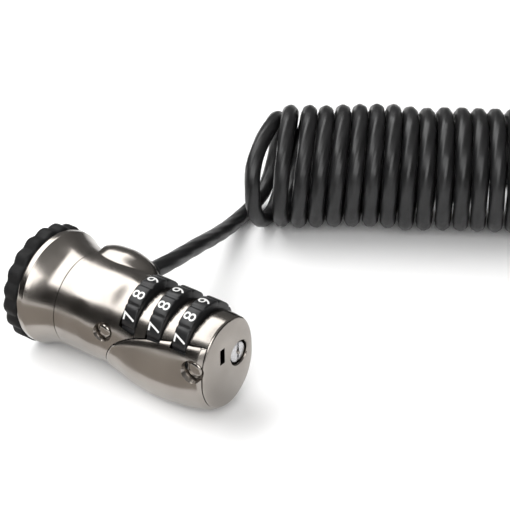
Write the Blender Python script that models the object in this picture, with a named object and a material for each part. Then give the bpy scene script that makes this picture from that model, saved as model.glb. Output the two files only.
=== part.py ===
"""Laptop cable lock: a three-dial combination head on a self-coiling steel cable.

Frame: metres, +Z up, the lock rests on z = 0. X runs along the barrel, from the turning grip
at -X to the flat end wall at +X. "Station" is the distance along the barrel from the outer
face of the grip; sizes here are millimetres and are scaled to metres as meshes are made.
"""
import math

import bmesh
import bpy
from mathutils import Matrix, Vector

MM = 0.001
GAP = 0.3                     # clearance between pieces that touch

# Driving sizes of the lock head
GRIP_RADIUS = 15.2            # tips of the scalloped grip
GRIP_DEPTH = 4.0
BARREL_RADIUS = 12.3
SEAM_STATION = 14.2           # the turning collar ends and the body begins
END_STATION = 58.0            # flat end wall
T_HEAD_STATION = -5.2         # tip of the lock bar
MID_STATION = (END_STATION + T_HEAD_STATION) / 2
AXIS_Z = GRIP_RADIUS          # the grip touches the floor

# Dials
DIAL_COUNT = 3
DIAL_STATION = 35.2           # middle of the first dial
DIAL_PITCH = 7.6
DIAL_WIDTH = 4.0
GROOVE_RADIUS = 8.95          # bottom of the groove between two digits
CORNER_RADIUS = 9.3           # edge of a digit's field
FACET_RADIUS = 9.22           # a digit's field
DIAL_RISE = 4.0               # dial axle above the barrel's axis
DIAL_FACETS = 10
DIAL_PHASE = 156.6            # direction of one digit seen from the dial axle, degrees
WINDOW_SIDE_GAP = 0.3
WINDOW_RADIUS = 9.62          # slot in the shells around each dial
HUB_RADIUS = 4.8              # code sleeve inside each dial

# Cable
CABLE_DIAMETER = 4.3
COIL_RADIUS = 17.35           # outside of the turns
COIL_PITCH = 4.8
COIL_TURNS = 18
COIL_HEADING = 33.6           # degrees from +X towards +Y
COIL_START = (11.0, 77.0)     # station and y of the first turn

NICKEL = (0.62, 0.60, 0.57, 1.0)
BLACK = (0.015, 0.015, 0.016, 1.0)
STEEL = (0.50, 0.50, 0.51, 1.0)
BRASS = (0.72, 0.52, 0.24, 1.0)
ALUMINIUM = (0.70, 0.71, 0.72, 1.0)


# ---------------------------------------------------------------- helpers
def clear_scene():
    for obj in list(bpy.data.objects):
        bpy.data.objects.remove(obj, do_unlink=True)


def material(name, colour, roughness, metallic):
    mat = bpy.data.materials.new(name)
    mat.use_nodes = True
    shader = mat.node_tree.nodes["Principled BSDF"]
    shader.inputs["Base Color"].default_value = colour
    shader.inputs["Roughness"].default_value = roughness
    shader.inputs["Metallic"].default_value = metallic
    mat.diffuse_color = colour
    return mat


FINISHES = {
    "nickel": (NICKEL, 0.22, 1.0),
    "rubber": (BLACK, 0.75, 0.0),
    "plastic": (BLACK, 0.4, 0.0),
    "steel": (STEEL, 0.3, 1.0),
    "brass": (BRASS, 0.35, 1.0),
    "aluminium": (ALUMINIUM, 0.35, 1.0),
}


def place(station, y=0.0, height=0.0):
    """World position, in millimetres, of a point given from the barrel's axis."""
    return Vector((station - MID_STATION, y, AXIS_Z + height))


def new_object(name, bm, finish=None, origin=None, smooth_angle=40):
    """Turns a bmesh in world millimetres into an object with its origin where it is asked."""
    base = origin if origin is not None else Vector((0, 0, 0))
    bmesh.ops.remove_doubles(bm, verts=bm.verts, dist=0.0005)
    bmesh.ops.transform(bm, matrix=Matrix.Scale(MM, 4) @ Matrix.Translation(-base), verts=bm.verts)
    bmesh.ops.triangulate(bm, faces=bm.faces)
    bmesh.ops.recalc_face_normals(bm, faces=bm.faces)
    mesh = bpy.data.meshes.new(name)
    bm.to_mesh(mesh)
    bm.free()
    mesh.shade_smooth()
    mesh.set_sharp_from_angle(angle=math.radians(smooth_angle))
    obj = bpy.data.objects.new(name, mesh)
    obj.location = base * MM
    bpy.context.scene.collection.objects.link(obj)
    if finish:
        mesh.materials.append(material(name + "_" + finish, *FINISHES[finish]))
    return obj


def cutter(name, bm):
    obj = new_object(name, bm)
    obj.hide_render = True
    obj.display_type = "WIRE"
    return obj


def boolean(obj, tool, operation):
    mod = obj.modifiers.new(tool.name, "BOOLEAN")
    mod.operation = operation
    mod.solver = "EXACT"
    mod.object = tool
    return obj


def cut(obj, *tools):
    for tool in tools:
        boolean(obj, tool, "DIFFERENCE")
    return obj


def cut_together(obj, tools):
    """Takes away several cutters in one exact step."""
    group = bpy.data.collections.new("cutters_of_" + obj.name)
    for tool in tools:
        group.objects.link(tool)
    mod = obj.modifiers.new(group.name, "BOOLEAN")
    mod.operation = "DIFFERENCE"
    mod.solver = "EXACT"
    mod.operand_type = "COLLECTION"
    mod.collection = group
    return obj


def join(obj, *tools):
    for tool in tools:
        boolean(obj, tool, "UNION")
    return obj


def bridge(bm, rings, closed_ends=True):
    """Skins equal rings of points into one closed body."""
    loops = [[bm.verts.new(p) for p in ring] for ring in rings]
    count = len(loops[0])
    for first, second in zip(loops, loops[1:]):
        for i in range(count):
            j = (i + 1) % count
            bm.faces.new((first[i], first[j], second[j], second[i]))
    if closed_ends:
        bm.faces.new(loops[0][::-1])
        bm.faces.new(loops[-1])
    else:
        for i in range(count):
            j = (i + 1) % count
            bm.faces.new((loops[-1][i], loops[-1][j], loops[0][j], loops[0][i]))
    return bm


def disc_ring(station, radius, centre=(0.0, 0.0), segments=48, start=0.0):
    """Points of a circle square to the barrel."""
    points = []
    for i in range(segments):
        angle = math.radians(start) + math.tau * i / segments
        points.append(place(station, centre[0] + radius * math.cos(angle),
                            centre[1] + radius * math.sin(angle)))
    return points


def ring_across(station, y, height, radius, segments=24, start=0.0):
    """Points of a circle about a line across the barrel."""
    points = []
    for k in range(segments):
        angle = math.radians(start) + math.tau * k / segments
        points.append(place(station + radius * math.cos(angle), y, height + radius * math.sin(angle)))
    return points


def turned(profile, centre=(0.0, 0.0), segments=48):
    """A body of revolution along the barrel; the profile is a closed loop or a stepped rod."""
    bm = bmesh.new()
    hollow = len(profile) > 2 and profile[0] == profile[-1]
    rows = profile[:-1] if hollow else profile
    rings = [disc_ring(a, r, centre, segments) for a, r in rows]
    return bridge(bm, rings, closed_ends=not hollow)


def tube_profile(start, end, inner, outer):
    return [(start, outer), (end, outer), (end, inner), (start, inner), (start, outer)]


def block(a_range, y_range, z_range):
    """A box between two stations, two widths and two heights from the barrel's axis."""
    bm = bmesh.new()
    corners = [(y_range[0], z_range[0]), (y_range[1], z_range[0]),
               (y_range[1], z_range[1]), (y_range[0], z_range[1])]
    return bridge(bm, [[place(a, y, z) for y, z in corners] for a in a_range])


def rod(start, end, radius, segments=24, end_radius=None):
    """A straight round bar between two points in world millimetres."""
    axis = (end - start).normalized()
    side = axis.orthogonal().normalized()
    up = axis.cross(side)
    rings = []
    for point, size in ((start, radius), (end, radius if end_radius is None else end_radius)):
        rings.append([point + side * (size * math.cos(math.tau * i / segments))
                      + up * (size * math.sin(math.tau * i / segments)) for i in range(segments)])
    return bridge(bmesh.new(), rings)


# ---------------------------------------------------------------- body shells
# Radius from the barrel's axis at 90 (top), 60, 30, 0, -30, -60 and -90 degrees.
BODY_SECTIONS = (
    (14.5, (12.3, 12.3, 12.3, 12.3, 12.3, 12.3, 12.3)),
    (24.0, (12.2, 12.2, 12.2, 12.2, 12.3, 12.3, 12.3)),
    (28.0, (11.9, 11.8, 11.6, 11.8, 12.2, 12.4, 12.4)),
    (31.5, (11.4, 11.2, 11.0, 11.3, 12.4, 13.4, 13.4)),
    (36.0, (11.1, 10.8, 10.65, 11.1, 13.0, 14.5, 14.8)),
    (42.0, (11.0, 10.7, 10.6, 11.0, 13.2, 14.9, 15.15)),
    (47.0, (11.0, 10.7, 10.5, 10.8, 12.9, 14.6, 15.15)),
    (52.0, (11.1, 10.8, 10.3, 10.4, 12.2, 13.9, 14.6)),
    (55.0, (11.2, 10.9, 10.1, 10.0, 11.5, 13.1, 14.0)),
    (57.0, (11.0, 10.7, 9.8, 9.5, 10.7, 12.2, 13.1)),
    (57.7, (10.6, 10.2, 9.3, 9.0, 10.2, 11.6, 12.6)),
    (58.0, (9.9, 9.6, 8.7, 8.4, 9.6, 11.0, 12.0)),
)
WALL = 1.7
SHELL_END = 56.2              # the lower shell stops at the end wall
CAVITY_RANGE = (16.4, 55.6)
REGION_OVERLAP = 2.0          # the two halves of the lower shell's space share this width


def section_radius(radii, angle):
    """Radius at an angle in degrees, eased between the radii given every 30 degrees."""
    lift = math.degrees(math.asin(math.sin(math.radians(angle))))
    place_on = (90.0 - lift) / 30.0
    low = min(int(place_on), len(radii) - 2)
    part = place_on - low
    before = radii[max(low - 1, 0)] if low > 0 else radii[1]
    after = radii[low + 2] if low + 2 < len(radii) else radii[-2]
    p1, p2 = radii[low], radii[low + 1]
    return p1 + 0.5 * part * (p2 - before + part * (2 * before - 5 * p1 + 4 * p2 - after
                                                    + part * (3 * (p1 - p2) + after - before)))


def radii_at(station):
    """Section radii between the given stations, in a straight blend."""
    stations = [a for a, _ in BODY_SECTIONS]
    station = min(max(station, stations[0]), stations[-1])
    for (a0, r0), (a1, r1) in zip(BODY_SECTIONS, BODY_SECTIONS[1:]):
        if a0 <= station <= a1:
            part = (station - a0) / (a1 - a0)
            return [p + (q - p) * part for p, q in zip(r0, r1)]
    return BODY_SECTIONS[-1][1]


def body_ring(station, inset=0.0, segments=48):
    radii = radii_at(station)
    points = []
    for i in range(segments):
        angle = 360.0 * i / segments
        radius = section_radius(radii, angle) - inset
        points.append(place(station, radius * math.cos(math.radians(angle)),
                            radius * math.sin(math.radians(angle))))
    return points


def body_loft(start, end, inset=0.0, segments=48):
    stations = [start] + [a for a, _ in BODY_SECTIONS if start < a < end] + [end]
    return bridge(bmesh.new(), [body_ring(a, inset, segments) for a in stations])


# Side view of the lower shell's upper edge (station and height), from the belly to the dials' feet.
PARTING_LINE = ((28.0, -17.0), (28.3, -9.0), (29.5, -4.5), (31.0, -1.6), (32.5, 0.0), (36.0, 1.9),
                (40.0, 2.9), (45.0, 3.6), (48.0, 4.9), (50.0, 5.8), (56.2, 6.9))


def parting_outline(gap):
    """The parting line as close points, moved away from the lower shell by a gap."""
    knots = [Vector((a, z, 0)) for a, z in PARTING_LINE]
    return [(p.x - gap, p.y + gap) for p in smooth_points(knots, 2.0)]


def lower_region(gap, back_height=-3.0):
    """The space of the lower shell; its back edge stays low, where the bars are rooted."""
    halves = []
    for side, top in ((-1, None), (1, back_height)):
        outline = [(a, z if top is None else min(z, top + gap)) for a, z in parting_outline(gap)]
        outline = [(a, z) for a, z in outline if a < SHELL_END + gap]
        outline.append((SHELL_END + gap, outline[-1][1]))
        outline.append((SHELL_END + gap, -20.0))
        outline.append((outline[0][0], -20.0))
        inner = 0.4 if side < 0 else -REGION_OVERLAP
        rings = []
        for y in (inner, side * 22.0):
            rings.append([place(a, y, z) for a, z in outline])
        halves.append(bridge(bmesh.new(), rings))
    return halves


def region_cutter(label, gap):
    front, back = [cutter("cut_%s_%d" % (label, i), bm) for i, bm in enumerate(lower_region(gap))]
    return join(front, back)


def window_cutters():
    """Slots that let each dial stand proud, from the front foot over the top to the back."""
    tools = []
    half = DIAL_WIDTH / 2 + WINDOW_SIDE_GAP
    for i in range(DIAL_COUNT):
        centre = DIAL_STATION + DIAL_PITCH * i
        rim = turned([(centre - half, WINDOW_RADIUS), (centre + half, WINDOW_RADIUS)],
                     (0.0, DIAL_RISE), 40)
        tools.append(cutter("cut_window_%d" % (i + 1), rim))
    return tools


# Name, station, height, recess radius, head radius and the sides (y signs) with a head.
RIVETS = (("rivet_nose", 29.3, 2.3, 2.3, 1.75, (-1, 1)), ("rivet_end", 55.0, 1.4, 2.6, 2.1, (-1,)))
POCKET_DEPTH = 1.1
RIVET_SHANK = 0.75
RIVET_HOLE = 1.05
RIVET_END_TIP = -3.4          # y where the one-sided rivet stops, inside its boss


def rivet_side(station, height):
    radii = radii_at(station)
    angle = math.degrees(math.asin(height / 10.5))
    radius = section_radius(radii, angle)
    return radius * math.cos(math.radians(angle))


def rivet_cutters():
    tools = []
    for name, station, height, recess, _, sides in RIVETS:
        reach = rivet_side(station, height)
        far_end = 25 if len(sides) > 1 else RIVET_END_TIP + GAP
        hole = rod(place(station, -25, height), place(station, far_end, height), RIVET_HOLE, 20)
        tools.append(cutter("cut_%s_hole" % name, hole))
        for side in sides:
            pocket = rod(place(station, side * (reach - POCKET_DEPTH), height),
                         place(station, side * (reach + 4), height), recess - 0.15, 24, recess + 1.2)
            tools.append(cutter("cut_%s_pocket_%d" % (name, side + 1), pocket))
    return tools


POD_CENTRE = (6.4, 7.2)       # y and height of the cable boss on the back shoulder
POD_STATIONS = ((14.6, 4.8), (17.0, 5.5), (21.0, 5.8), (25.0, 5.6), (27.4, 4.9), (29.2, 3.7), (30.1, 2.5),
                (30.5, 1.2))
POD_DROP = 0.15               # how fast the boss's middle sinks behind the cable's exit
EXIT_STATION = 24.0
EXIT_HEIGHT = 4.8
SOCKET_END = 11.4             # y of the boss's outlet
CABLE_BORE = 3.4
SPOT_FACE = 4.25              # flat seat of the gland's flange


def boss_body():
    """Round boss along the back shoulder that the cable leaves by."""
    rings = [disc_ring(a, r, (POD_CENTRE[0], POD_CENTRE[1] - POD_DROP * max(0, a - 22)), 32)
             for a, r in POD_STATIONS]
    return cutter("add_pod", bridge(bmesh.new(), rings))


def boss_cutters():
    """Stepped bore for the cable, with the flat seat of the gland's flange."""
    rows = ((-1.0, CABLE_BORE), (SOCKET_END, CABLE_BORE), (SOCKET_END, SPOT_FACE), (18.0, SPOT_FACE))
    rings = [ring_across(EXIT_STATION, y, EXIT_HEIGHT, r, start=4.0) for y, r in rows]
    return [cutter("cut_cable_bore", bridge(bmesh.new(), rings))]


RESET_CENTRE = (3.9, 0.0)
RESET_RADIUS = 2.7


def upper_shell():
    """Nickel casting: barrel, dial bars, cable boss and end wall in one piece."""
    shell = new_object("upper_shell", body_loft(14.5, END_STATION), "nickel")
    join(shell, boss_body())
    cavity = cutter("cut_cavity_upper", body_loft(CAVITY_RANGE[0], CAVITY_RANGE[1], WALL, 40))
    cut(shell, cavity)
    cut(shell, region_cutter("upper", GAP))
    axle_seat = cutter("add_axle_seat", turned([(53.6, 3.0), (57.0, 3.0)], (0.0, DIAL_RISE), 24))
    rivet_boss = cutter("add_rivet_boss", block((53.0, 57.0), (-7.0, -2.2), (-0.6, 3.0)))
    join(shell, axle_seat, rivet_boss)
    sleeve_bore = turned([(13.0, 5.3), (18.0, 5.3)], segments=32)
    axle_bore = turned([(52.0, 1.9), (56.4, 1.9)], (0.0, DIAL_RISE), 20)
    reset_bore = turned([(53.0, RESET_RADIUS + GAP), (60.0, RESET_RADIUS + GAP)], RESET_CENTRE, 28)
    notch = block((56.7, 59.0), (-3.0, -1.7), (0.8, 4.3))
    tools = [cutter("cut_sleeve_bore", sleeve_bore), cutter("cut_axle_bore", axle_bore),
             cutter("cut_reset_bore", reset_bore), cutter("cut_end_notch", notch)]
    return cut_together(shell, tools + window_cutters() + boss_cutters() + rivet_cutters())


def lower_shell():
    """Nickel belly that closes the dial housing from below."""
    shell = new_object("lower_shell", body_loft(26.0, SHELL_END), "nickel")
    boolean(shell, region_cutter("lower", 0.0), "INTERSECT")
    cavity = cutter("cut_cavity_lower", body_loft(24.0, END_STATION, WALL, 40))
    cut(shell, cavity)
    shared = [o for o in bpy.data.objects if o.name.startswith(("cut_window", "cut_rivet_end"))]
    return cut_together(shell, shared)


# ---------------------------------------------------------------- turning grip
GRIP_TURN = 90                # degrees between locked and free
SLOT_MARGIN = 20              # degrees of the arc slot beyond the pin at each end
PIN_STATION = 10.5
SLEEVE_END = 20.0
CAM_START = 25.6
CAM_END = 26.8


SCALLOPS = 20
SCALLOP_DEPTH = 0.7


def grip_ring():
    """Scalloped rubber ring pressed over the collar's front."""
    segments = SCALLOPS * 6
    rings = []
    profile = [(0.0, 11.2, 0), (0.0, -0.9, 1), (0.5, 0.0, 1), (GRIP_DEPTH - 0.5, 0.0, 1),
               (GRIP_DEPTH, -0.6, 1), (GRIP_DEPTH, 13.9, 0), (1.6, 13.9, 0), (1.6, 11.2, 0)]
    for station, size, wavy in profile:
        ring = []
        for i in range(segments):
            angle = math.tau * i / segments
            wave = 0.5 * (1 + math.cos(SCALLOPS * angle))
            tip = GRIP_RADIUS - SCALLOP_DEPTH * (1 - wave ** 0.7)
            radius = tip + size if wavy else size
            ring.append(place(station, radius * math.cos(angle), radius * math.sin(angle)))
        rings.append(ring)
    bm = bridge(bmesh.new(), rings, closed_ends=False)
    return new_object("grip_ring", bm, "rubber", place(0))


def collar():
    """Bell-shaped nickel collar that turns with the grip."""
    profile = [(1.9, 13.6), (GRIP_DEPTH + 0.2, 13.6), (GRIP_DEPTH + 0.2, 14.45), (4.6, 14.65),
               (5.8, 14.65), (6.3, 14.45), (7.4, 14.0), (9.0, 13.4), (11.0, 12.75), (13.0, 12.4),
               (SEAM_STATION, BARREL_RADIUS), (SEAM_STATION, 10.6), (7.6, 11.0), (7.6, 8.2),
               (SEAM_STATION - 0.4, 8.2), (SEAM_STATION - 0.4, 5.3), (3.4, 5.3), (3.4, 10.4),
               (1.9, 10.4), (1.9, 13.6)]
    body = new_object("collar", turned(profile, segments=72), "nickel", place(0))
    pin_hole = rod(place(PIN_STATION, 0, 3.0), place(PIN_STATION, 0, 9.5), 1.2, 16)
    return cut(body, cutter("cut_collar_pin", pin_hole))


def nose_sleeve():
    """Fixed steel tube that the collar turns on, with the front flange and two anti-turn prongs."""
    profile = [(1.2, 9.6), (2.9, 9.6), (2.9, 5.0), (16.7, 5.0), (16.7, 6.2), (17.6, 6.2), (18.4, 5.0),
               (SLEEVE_END, 5.0), (SLEEVE_END, 2.9), (1.2, 2.9), (1.2, 9.6)]
    sleeve = new_object("nose_sleeve", turned(profile, segments=40), "steel", place(0))
    slot = bmesh.new()
    steps = 12
    spread = math.radians(GRIP_TURN + 2 * SLOT_MARGIN)
    begin = math.radians(90 - SLOT_MARGIN)
    rows = []
    for i in range(steps + 1):
        angle = begin + spread * i / steps
        rows.append([place(a, r * math.cos(angle), r * math.sin(angle))
                     for a, r in ((PIN_STATION - 1.3, 2.0), (PIN_STATION + 1.3, 2.0),
                                  (PIN_STATION + 1.3, 5.6), (PIN_STATION - 1.3, 5.6))])
    bridge(slot, rows)
    cut(sleeve, cutter("cut_sleeve_arc", slot))
    for side in (-1, 1):
        prong = block((-2.9, 1.6), (side * 3.1 - 0.37, side * 3.1 + 0.37), (-1.1, 1.1))
        join(sleeve, cutter("add_prong_%d" % (side + 1), prong))
    return sleeve


def face_pad():
    """Thin rubber washer that rests against the computer's case."""
    pad = new_object("face_pad", turned(tube_profile(-0.6, 0.9, 4.6, 10.0), segments=48), "rubber",
                     place(0))
    return pad


def lock_spindle():
    """Steel spindle with the T-shaped head that turns inside the computer's security slot."""
    groove = (SLEEVE_END + 0.2, SLEEVE_END + 1.1)
    profile = [(T_HEAD_STATION + 1.5, 1.2), (-0.4, 1.2), (0.6, 2.55), (groove[0], 2.55), (groove[0], 1.7),
               (groove[1], 1.7), (groove[1], 2.55), (CAM_END, 2.55)]
    spindle = new_object("lock_spindle", turned(profile, segments=24), "steel", place(0))
    head = block((T_HEAD_STATION, T_HEAD_STATION + 1.7), (-3.2, 3.2), (-1.25, 1.25))
    join(spindle, cutter("add_t_head", head))
    hole = rod(place(PIN_STATION, 0, -4), place(PIN_STATION, 0, 4), 1.2, 16)
    return cut(spindle, cutter("cut_spindle_pin", hole))


def drive_pin():
    """Cross pin that carries the collar's turn to the spindle through the sleeve's arc slot."""
    pin = rod(place(PIN_STATION, 0, -1.6), place(PIN_STATION, 0, 7.8), 0.9, 16)
    return new_object("drive_pin", pin, "steel", place(0))


def retaining_ring():
    """Open snap ring in the spindle's rear groove."""
    rows = []
    steps = 28
    front, rear = SLEEVE_END + 0.4, SLEEVE_END + 0.9
    for i in range(steps + 1):
        angle = math.radians(-60 + 300 * i / steps)
        rows.append([place(a, r * math.cos(angle), r * math.sin(angle))
                     for a, r in ((front, 2.0), (rear, 2.0), (rear, 4.1), (front, 4.1))])
    return new_object("retaining_ring", bridge(bmesh.new(), rows), "steel", place(0))


def lock_cam():
    """Notched disc on the spindle's end that the fence bar blocks."""
    disc = new_object("lock_cam", turned(tube_profile(CAM_START, CAM_END, 2.85, 5.8), segments=40), "steel",
                      place(0))
    notch = block((CAM_START - 0.5, CAM_END + 0.5), (-1.2, 1.2), (-7.0, -4.4))
    return cut(disc, cutter("cut_cam_notch", notch))


# ---------------------------------------------------------------- dial pack
def dial_angle(step):
    """Direction of a digit from the dial axle, in radians."""
    return math.radians(DIAL_PHASE - 360.0 / DIAL_FACETS * step)


def dial(index):
    """Ten-sided dial with a small groove between its digits and a round bore."""
    centre = DIAL_STATION + DIAL_PITCH * index
    half = DIAL_WIDTH / 2
    corner = math.pi / DIAL_FACETS
    rim = []
    for step in range(DIAL_FACETS):
        middle = dial_angle(step)
        for offset, radius in ((-corner, GROOVE_RADIUS), (-corner + 0.07, CORNER_RADIUS),
                               (-corner + 0.16, FACET_RADIUS), (corner - 0.16, FACET_RADIUS),
                               (corner - 0.07, CORNER_RADIUS)):
            rim.append((middle + offset, radius))
    rim.sort()
    inner = [(angle, HUB_RADIUS + GAP) for angle, _ in rim]

    def ring(station, row, scale=1.0):
        return [place(station, r * scale * math.cos(t), DIAL_RISE + r * scale * math.sin(t)) for t, r in row]

    rings = [ring(centre - half, inner), ring(centre - half, rim, 0.975), ring(centre - half + 0.25, rim),
             ring(centre + half - 0.25, rim), ring(centre + half, rim, 0.975), ring(centre + half, inner)]
    return new_object("dial_%d" % (index + 1), bridge(bmesh.new(), rings, closed_ends=False), "plastic",
                      place(centre, 0, DIAL_RISE), 25)


def code_sleeve(index):
    """Brass hub inside each dial, with the gate that the fence drops into."""
    centre = DIAL_STATION + DIAL_PITCH * index
    profile = tube_profile(centre - 3.4, centre + 2.3, 1.9, HUB_RADIUS)
    sleeve = new_object("code_sleeve_%d" % (index + 1), turned(profile, (0.0, DIAL_RISE), 32), "brass",
                        place(centre, 0, DIAL_RISE))
    gate = block((centre - 3.6, centre - 2.3), (-1.1, 1.1), (DIAL_RISE - HUB_RADIUS - 1, DIAL_RISE - HUB_RADIUS + 1))
    return cut(sleeve, cutter("cut_gate_%d" % (index + 1), gate))


def dial_axle():
    axle = turned([(30.4, 1.6), (56.0, 1.6)], (0.0, DIAL_RISE), 20)
    return new_object("dial_axle", axle, "steel", place(43, 0, DIAL_RISE))


def bulkhead():
    """Plate between the spindle and the dials; it carries the axle's front end."""
    start, end = 30.1, 31.3
    rings = [body_ring(a, WALL + 0.6, 40) for a in (start, end)]
    rings = [[Vector((p.x, p.y, max(p.z, AXIS_Z - 9.0))) for p in ring] for ring in rings]
    plate = new_object("bulkhead", bridge(bmesh.new(), rings), "steel", place(start))
    axle_hole = turned([(29.0, 1.9), (32.0, 1.9)], (0.0, DIAL_RISE), 20)
    nose_hole = block((29.0, 32.0), (-1.3, 1.3), (-7.6, -4.0))
    return cut(plate, cutter("cut_bulkhead_axle", axle_hole), cutter("cut_bulkhead_nose", nose_hole))


FENCE_END = 54.6
SEAT_RANGE = (35.6, 51.6)
SEAT_BOTTOM = -12.3
SPRING_STATIONS = (38.4, 48.6)


def fence_bar():
    """Steel bar under the code sleeves whose nose blocks the cam until the gates line up."""
    bottom, top, finger_top = -6.9, -5.9, DIAL_RISE - HUB_RADIUS - 0.35
    nose = CAM_END + GAP
    outline = [(nose, bottom), (nose, bottom + 1.8), (31.5, bottom + 1.8), (31.5, top)]
    for i in range(DIAL_COUNT):
        centre = DIAL_STATION + DIAL_PITCH * i
        outline += [(centre - 3.3, top), (centre - 3.3, finger_top), (centre - 2.6, finger_top),
                    (centre - 2.6, top)]
    outline += [(FENCE_END, top), (FENCE_END, bottom)]
    rings = [[place(a, y, z) for a, z in outline] for y in (-0.9, 0.9)]
    return new_object("fence_bar", bridge(bmesh.new(), rings), "steel", place(43, 0, -6.4))


def fence_spring(index, station):
    """Small compression spring under the fence bar."""
    turns, radius, wire, sides = 4, 1.3, 0.22, 6
    base, top = SEAT_BOTTOM + 1.1, -7.45
    steps = turns * 12
    rings = []
    for i in range(steps + 1):
        angle = math.tau * i / 12
        centre = place(station + radius * math.cos(angle), radius * math.sin(angle),
                       base + (top - base) * i / steps)
        out = Vector((math.cos(angle), math.sin(angle), 0))
        rings.append([centre + out * (wire * math.cos(math.tau * k / sides))
                      + Vector((0, 0, wire * math.sin(math.tau * k / sides))) for k in range(sides)])
    return new_object("fence_spring_%d" % index, bridge(bmesh.new(), rings), "steel",
                      place(station, 0, base))


def spring_seat():
    """Channel that holds the fence springs above the belly."""
    floor, rim = SEAT_BOTTOM + 0.6, SEAT_BOTTOM + 2.3
    outline = [(-2.6, SEAT_BOTTOM), (2.6, SEAT_BOTTOM), (2.6, rim), (2.1, rim), (2.1, floor), (-2.1, floor),
               (-2.1, rim), (-2.6, rim)]
    rings = [[place(a, y, z) for y, z in outline] for a in SEAT_RANGE]
    return new_object("spring_seat", bridge(bmesh.new(), rings), "steel", place(42, 0, SEAT_BOTTOM))


def index_spring():
    """Comb of three leaf tongues, one under each dial, that click between the digits."""
    foot = [(7.5, -7.9), (7.5, -6.8), (6.3, -6.8), (6.1, -7.2), (7.1, -7.2), (7.1, -7.9)]
    tongue = [(7.3, -7.15), (7.3, -6.85), (6.3, -6.85), (3.9, -5.1), (3.7, -5.4), (6.2, -7.15)]
    rings = [[place(a, y, z) for y, z in foot] for a in (33.7, 52.2)]
    spring = new_object("index_spring", bridge(bmesh.new(), rings), "steel", place(43, 5.4, -6.8))
    for i in range(DIAL_COUNT):
        centre = DIAL_STATION + DIAL_PITCH * i
        rings = [[place(a, y, z) for y, z in tongue] for a in (centre - 1.5, centre + 1.5)]
        join(spring, cutter("add_tongue_%d" % (i + 1), bridge(bmesh.new(), rings)))
    return spring


def reset_screw():
    """Slotted screw in the end wall that frees the dials so that a new code can be set."""
    profile = [(54.1, 1.5), (55.0, 1.5), (55.0, RESET_RADIUS), (57.7, RESET_RADIUS), (58.0, RESET_RADIUS - 0.3)]
    screw = new_object("reset_screw", turned(profile, RESET_CENTRE, 28), "steel",
                       place(56, RESET_CENTRE[0], RESET_CENTRE[1]))
    slot = block((57.1, 59.0), (RESET_CENTRE[0] - 0.4, RESET_CENTRE[0] + 0.4),
                 (RESET_CENTRE[1] - 3.2, RESET_CENTRE[1] + 3.2))
    return cut(screw, cutter("cut_reset_slot", slot))


def rivet(name, station, height, head_radius, sides):
    """Rivet square to the barrel with a domed head in a pocket at each of its open ends."""
    reach = rivet_side(station, height)
    rows = [(-reach + 0.1, head_radius * 0.45), (-reach + 0.35, head_radius * 0.85),
            (-reach + 0.75, head_radius), (-reach + 0.75, RIVET_SHANK)]
    if len(sides) > 1:
        rows = rows + [(-y, r) for y, r in reversed(rows)]
    else:
        rows.append((RIVET_END_TIP, RIVET_SHANK))
    rings = [ring_across(station, y, height, radius) for y, radius in rows]
    return new_object(name, bridge(bmesh.new(), rings), "nickel", place(station, 0, height))


# ---------------------------------------------------------------- cable
GLAND_REACH = 1.8


def cable_gland():
    """Soft black bush that guides the cable out of the boss."""
    inside, flange, end = 9.0, SOCKET_END + GAP, SOCKET_END + GLAND_REACH
    points = [(inside, CABLE_BORE - GAP), (flange, CABLE_BORE - GAP), (flange, 3.9), (flange + 0.7, 3.8),
              (end, 3.2), (end, 2.5), (inside, 2.5)]
    rings = [ring_across(EXIT_STATION, y, EXIT_HEIGHT, r) for y, r in points]
    return new_object("cable_gland", bridge(bmesh.new(), rings, closed_ends=False), "rubber",
                      place(EXIT_STATION, 12, EXIT_HEIGHT))


def cable_stub():
    """Crimped steel stop on the cable's end inside the boss."""
    stop = rod(place(EXIT_STATION, 5.7, EXIT_HEIGHT), place(EXIT_STATION, 8.6, EXIT_HEIGHT), 2.6, 20)
    return new_object("cable_stop", stop, "steel", place(EXIT_STATION, 6, EXIT_HEIGHT))


def heading():
    angle = math.radians(COIL_HEADING)
    return Vector((math.cos(angle), math.sin(angle), 0))


def coil_point(along, height=0.0, back=0.0):
    """World point given along the coil's axis, above the floor and behind the axis."""
    start = Vector((COIL_START[0] - MID_STATION, COIL_START[1], 0))
    across = Vector((-heading().y, heading().x, 0))
    return start + heading() * along + across * back + Vector((0, 0, height))


def smooth_points(knots, spacing):
    """Evenly spaced points on a smooth curve through the knots."""
    dense = []
    padded = [knots[0] * 2 - knots[1]] + knots + [knots[-1] * 2 - knots[-2]]
    for p0, p1, p2, p3 in zip(padded, padded[1:], padded[2:], padded[3:]):
        for i in range(40):
            t = i / 40
            dense.append(0.5 * (2 * p1 + (p2 - p0) * t + (2 * p0 - 5 * p1 + 4 * p2 - p3) * t ** 2
                                + (3 * (p1 - p2) + p3 - p0) * t ** 3))
    dense.append(knots[-1])
    length = sum((b - a).length for a, b in zip(dense, dense[1:]))
    count = max(2, round(length / spacing))
    points, walked, target = [dense[0]], 0.0, length / count
    for a, b in zip(dense, dense[1:]):
        step = (b - a).length
        while walked + step >= target * len(points) and len(points) < count:
            points.append(a.lerp(b, (target * len(points) - walked) / step))
        walked += step
    points.append(dense[-1])
    return points


def cable_curve(name, points, radius=CABLE_DIAMETER / 2):
    curve = bpy.data.curves.new(name, "CURVE")
    curve.dimensions = "3D"
    curve.bevel_depth = radius * MM
    curve.bevel_resolution = 2
    curve.use_fill_caps = True
    spline = curve.splines.new("POLY")
    spline.points.add(len(points) - 1)
    for slot, point in zip(spline.points, points):
        slot.co = (*(point * MM), 1.0)
    obj = bpy.data.objects.new(name, curve)
    bpy.context.scene.collection.objects.link(obj)
    curve.materials.append(material(name + "_sheath", *FINISHES["plastic"]))
    return obj


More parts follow.
